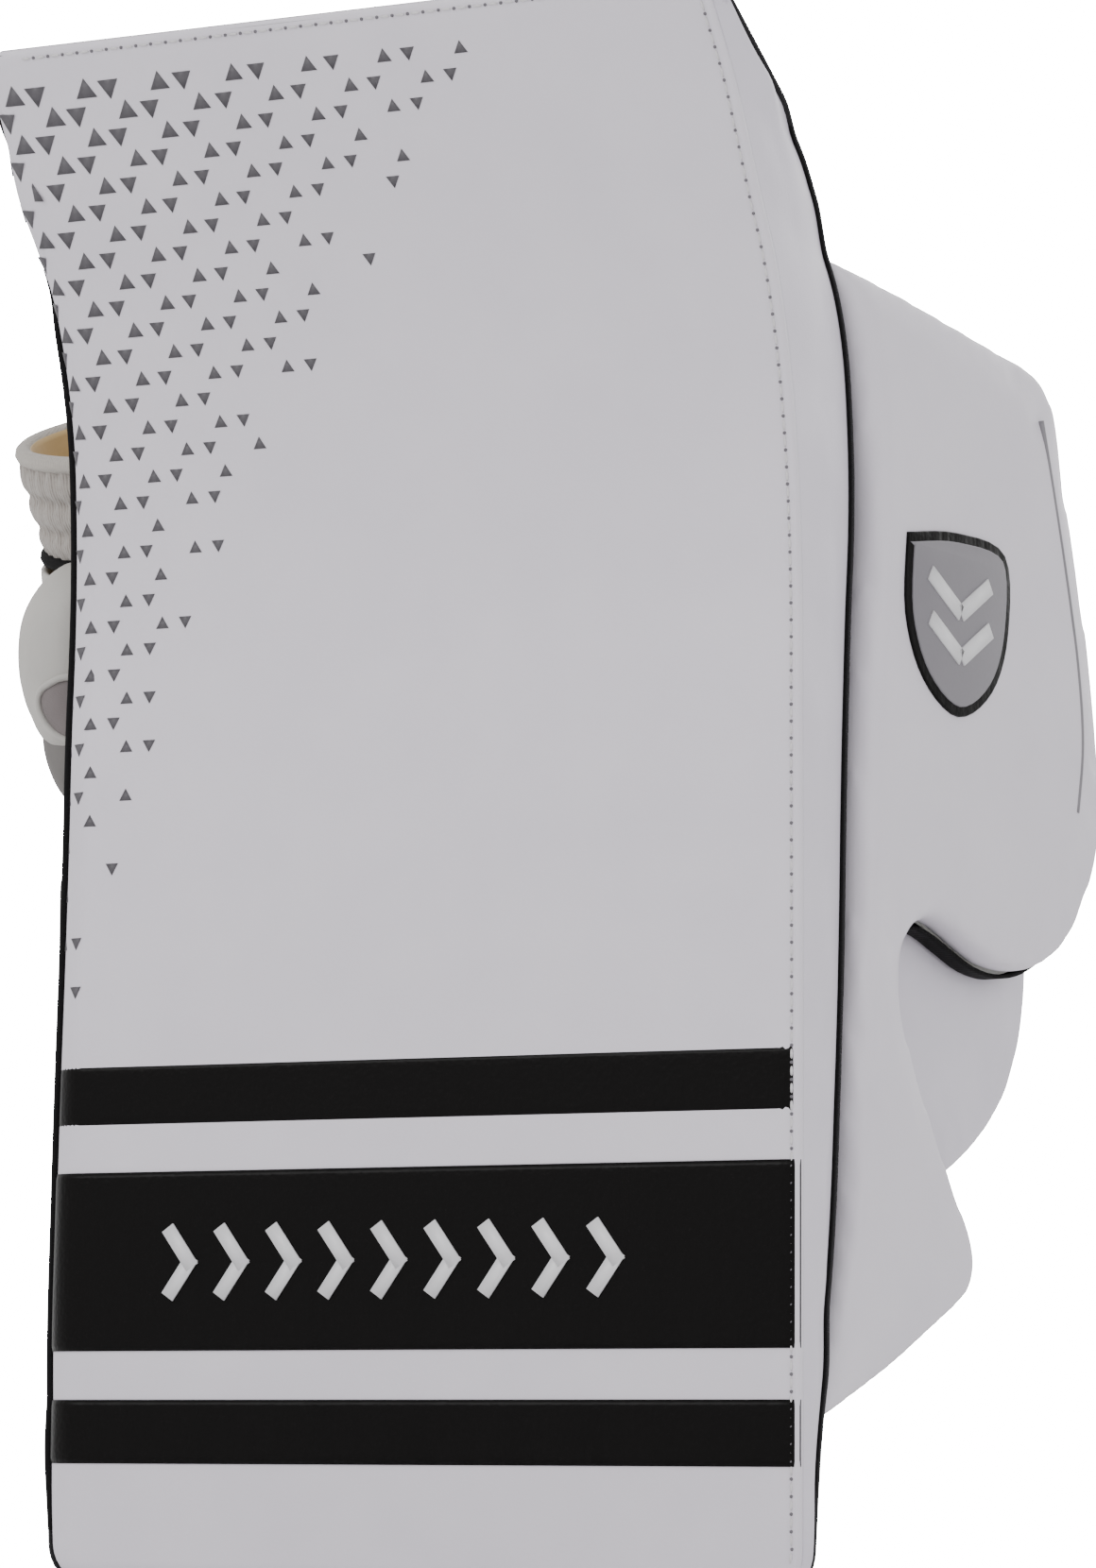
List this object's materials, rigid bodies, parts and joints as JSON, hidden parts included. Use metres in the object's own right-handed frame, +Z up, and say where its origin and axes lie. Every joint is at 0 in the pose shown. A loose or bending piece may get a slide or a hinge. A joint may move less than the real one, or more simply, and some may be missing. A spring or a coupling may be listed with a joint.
{
  "type": "goalie blocker",
  "caption": "Curved padded board worn on the back of a goalie's stick hand, with a splayed side flap, inner guard, finger stalls, thumb guard and wrist cuff.",
  "frame": {"origin": "on the flat front face, half way across the board, level with the top stripe", "axes": "+Z up the board towards the wrist and forearm end, -Y the way the face looks, +X towards the side flap"},
  "size_m": [0.2502, 0.1782, 0.3321],
  "materials": {
    "white_pu": "satin",
    "black_pu": "gloss",
    "black_nylon": "matt",
    "black_binding": "satin",
    "eva_foam": "matt",
    "hdpe_sheet": "satin",
    "zinc_steel": "satin",
    "tan_suede": "matt",
    "white_knit": "matt",
    "grey_glove": "matt",
    "grey_mesh": "matt",
    "hook_and_loop": "matt"
  },
  "bodies": {
    "board": {"backhand_pad": "black_nylon", "board_back": "black_nylon", "board_bottom_end": "white_pu", "board_core": "eva_foam", "board_face": "white_pu", "board_front_foam": "eva_foam", "board_side_left": "white_pu", "board_side_right": "white_pu", "board_stiffener": "hdpe_sheet", "board_top_end": "white_pu", "cuff_band": "white_knit", "cuff_binding": "white_knit", "cuff_lining": "tan_suede", "cuff_piping": "black_binding", "glove_back": "grey_glove", "glove_screws": "zinc_steel", "glove_washers": "zinc_steel", "guard_binding": "black_binding", "guard_cover": "white_pu", "guard_foam": "eva_foam", "index_roll": "white_pu", "index_roll_tab": "black_nylon", "little_side_gusset": "white_knit", "loop_patch": "hook_and_loop", "palm": "tan_suede", "palm_patch": "tan_suede", "rear_piping": "black_binding", "strap_anchor": "white_pu", "stripe_lower": "black_pu", "stripe_middle": "black_pu", "stripe_upper": "black_pu", "thumb_side_gusset": "white_knit"},
    "flap": {"flap_binding": "black_binding", "flap_cover": "white_pu", "flap_foam": "eva_foam", "flap_lining": "black_nylon", "flap_plate": "hdpe_sheet"},
    "thumb": {"thumb_guard": "white_pu", "thumb_insert": "hdpe_sheet", "thumb_patch": "grey_mesh", "thumb_stall": "grey_glove"},
    "wrist_strap": {"hook_patch": "hook_and_loop", "strap": "white_pu", "strap_tab": "white_pu"},
    "index_finger": {"index_stall_base": "grey_glove"},
    "index_fingertip": {"index_stall_tip": "grey_glove"},
    "middle_finger": {"middle_stall_base": "grey_glove"},
    "middle_fingertip": {"middle_stall_tip": "grey_glove"},
    "ring_finger": {"ring_stall_base": "grey_glove"},
    "ring_fingertip": {"ring_stall_tip": "grey_glove"},
    "little_finger": {"little_stall_base": "grey_glove"},
    "little_fingertip": {"little_stall_tip": "grey_glove"}
  },
  "joints": [
    {"name": "flap_flex", "type": "hinge", "parent": "board", "child": "flap", "pos_m": [0.087, 0.03, 0.06], "axis": [0, 0, 1], "range_deg": [-12, 0], "stiffness_Nm_per_rad": 0.6},
    {"name": "thumb_curl", "type": "hinge", "parent": "board", "child": "thumb", "pos_m": [-0.1215, 0.0768, 0.1268], "axis": [1, 0, 0], "range_deg": [0, 35], "stiffness_Nm_per_rad": 0.08},
    {"name": "strap_open", "type": "hinge", "parent": "board", "child": "wrist_strap", "pos_m": [-0.0352, 0.08051, 0.15496], "axis": [0, -0.4226, 0.9063], "range_deg": [-110, 0]},
    {"name": "index_knuckle", "type": "hinge", "parent": "board", "child": "index_finger", "pos_m": [-0.0957, 0.0736, 0.0698], "axis": [1, 0, 0], "range_deg": [0, 30], "stiffness_Nm_per_rad": 0.05},
    {"name": "index_mid_joint", "type": "hinge", "parent": "index_finger", "child": "index_fingertip", "pos_m": [-0.0957, 0.0485, 0.0353], "axis": [1, 0, 0], "range_deg": [-40, 0], "stiffness_Nm_per_rad": 0.05},
    {"name": "middle_knuckle", "type": "hinge", "parent": "board", "child": "middle_finger", "pos_m": [-0.0761, 0.0736, 0.0698], "axis": [1, 0, 0], "range_deg": [0, 30], "stiffness_Nm_per_rad": 0.05},
    {"name": "middle_mid_joint", "type": "hinge", "parent": "middle_finger", "child": "middle_fingertip", "pos_m": [-0.0761, 0.0485, 0.0353], "axis": [1, 0, 0], "range_deg": [-40, 0], "stiffness_Nm_per_rad": 0.05},
    {"name": "ring_knuckle", "type": "hinge", "parent": "board", "child": "ring_finger", "pos_m": [-0.0565, 0.0736, 0.0698], "axis": [1, 0, 0], "range_deg": [0, 30], "stiffness_Nm_per_rad": 0.05},
    {"name": "ring_mid_joint", "type": "hinge", "parent": "ring_finger", "child": "ring_fingertip", "pos_m": [-0.0565, 0.0485, 0.0353], "axis": [1, 0, 0], "range_deg": [-40, 0], "stiffness_Nm_per_rad": 0.05},
    {"name": "little_knuckle", "type": "hinge", "parent": "board", "child": "little_finger", "pos_m": [-0.0369, 0.0736, 0.0698], "axis": [1, 0, 0], "range_deg": [0, 30], "stiffness_Nm_per_rad": 0.05},
    {"name": "little_mid_joint", "type": "hinge", "parent": "little_finger", "child": "little_fingertip", "pos_m": [-0.0369, 0.0485, 0.0353], "axis": [1, 0, 0], "range_deg": [-40, 0], "stiffness_Nm_per_rad": 0.05}
  ]
}
